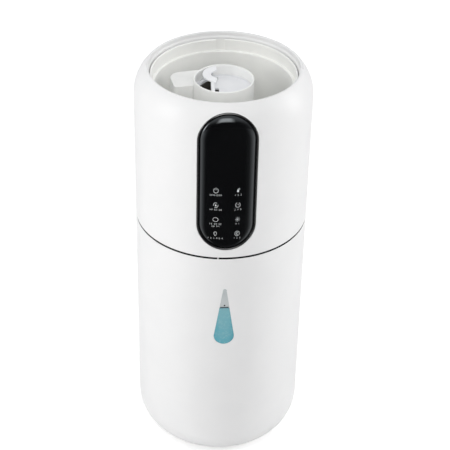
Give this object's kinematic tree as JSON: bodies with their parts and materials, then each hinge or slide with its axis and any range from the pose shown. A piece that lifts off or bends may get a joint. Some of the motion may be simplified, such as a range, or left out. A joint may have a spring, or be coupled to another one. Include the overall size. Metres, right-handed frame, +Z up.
{
  "type": "cool mist humidifier",
  "caption": "Tall round top-fill cool mist humidifier: a water bucket with a drop-shaped level window under a lift-off head with touch panel, pour basin and mist tower.",
  "frame": {"origin": "centre of the footprint, on the surface that the feet stand on", "axes": "+Z up along the axis of the round body; the touch panel faces -Y; +X is to the right seen from the front"},
  "size_m": [0.17, 0.17, 0.4282],
  "materials": {
    "white_shell": "satin",
    "clear_tank": "glossy",
    "level_window": "glossy",
    "steel": "satin",
    "rubber": "matt",
    "seal": "matt",
    "panel_frame": "glossy",
    "black_glass": "glossy",
    "circuit_board": "satin",
    "display": "satin",
    "inner_white": "matt",
    "basin_grey": "satin",
    "tower_grey": "satin",
    "baffle_white": "satin",
    "brass_ring": "satin",
    "float_plastic": "matt",
    "lamp_lens": "glossy",
    "dark_plastic": "matt",
    "filter_foam": "open foam"
  },
  "bodies": {
    "bucket": {"lower_shell": "white_shell", "water_tank": "clear_tank", "level_window": "level_window", "base_plate": "white_shell", "base_screws": "steel", "feet": "rubber", "seam_ring": "seal"},
    "head": {"upper_shell": "white_shell", "deck_screws": "steel", "panel_bezel": "panel_frame", "touch_panel": "black_glass", "touch_board": "circuit_board", "driver_board": "circuit_board", "display_module": "display", "key_light_guide": "inner_white", "head_deck": "inner_white", "pour_basin": "basin_grey", "fill_pipe": "inner_white", "mist_tower": "tower_grey", "tower_gasket": "seal", "air_duct": "tower_grey", "atomiser_cup": "inner_white", "transducer_disc": "steel", "transducer_seal": "seal", "transducer_clamp": "brass_ring", "uv_lamp": "lamp_lens", "fan_housing": "dark_plastic", "fan_motor": "steel", "dc_jack": "dark_plastic", "intake_grille": "white_shell", "intake_filter": "filter_foam", "riser_pipe": "inner_white", "pump_body": "dark_plastic", "pump_strainer": "dark_plastic", "pump_cable": "dark_plastic"},
    "baffle": {"splash_baffle": "baffle_white"},
    "level_float": {"level_float": "float_plastic"},
    "fan_rotor": {"fan_impeller": "dark_plastic"},
    "pump_rotor": {"pump_impeller": "float_plastic"}
  },
  "joints": [
    {"name": "head_lift", "type": "slide", "parent": "bucket", "child": "head", "axis": [0, 0, 1], "range_m": [0, 0.27]},
    {"name": "baffle_lift", "type": "slide", "parent": "head", "child": "baffle", "axis": [0, 0, 1], "range_m": [0, 0.045]},
    {"name": "float_rise", "type": "slide", "parent": "head", "child": "level_float", "axis": [0, 0, 1], "range_m": [0, 0.014]},
    {"name": "fan_spin", "type": "hinge", "parent": "head", "child": "fan_rotor", "pos_m": [-0.05, 0.028, 0.295], "axis": [0, 0, 1], "continuous": true},
    {"name": "pump_spin", "type": "hinge", "parent": "head", "child": "pump_rotor", "pos_m": [0, 0.028, 0.024], "axis": [0, 0, 1], "continuous": true}
  ]
}
